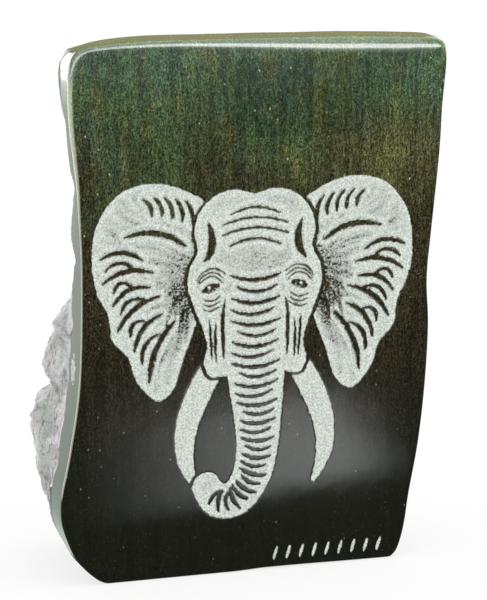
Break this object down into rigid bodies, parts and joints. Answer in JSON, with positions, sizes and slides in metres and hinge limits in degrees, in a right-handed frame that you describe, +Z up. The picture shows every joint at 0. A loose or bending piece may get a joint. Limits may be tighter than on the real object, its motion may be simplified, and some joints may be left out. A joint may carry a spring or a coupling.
{
  "type": "engraved stone block",
  "caption": "Free-standing block of dark green stone, polished in front and on top, rough at the sides and back, with an elephant's head engraved in its face.",
  "frame": {"origin": "on the ground base, at the middle of the block's bounding box seen from above", "axes": "+Z up the block, the polished and engraved face towards -Y, +X to the right of someone who looks at that face"},
  "size_m": [0.12, 0.0522, 0.1487],
  "materials": {
    "polished_stone": "polished"
  },
  "bodies": {
    "root": {"engraved_stone": "polished_stone"}
  },
  "joints": []
}
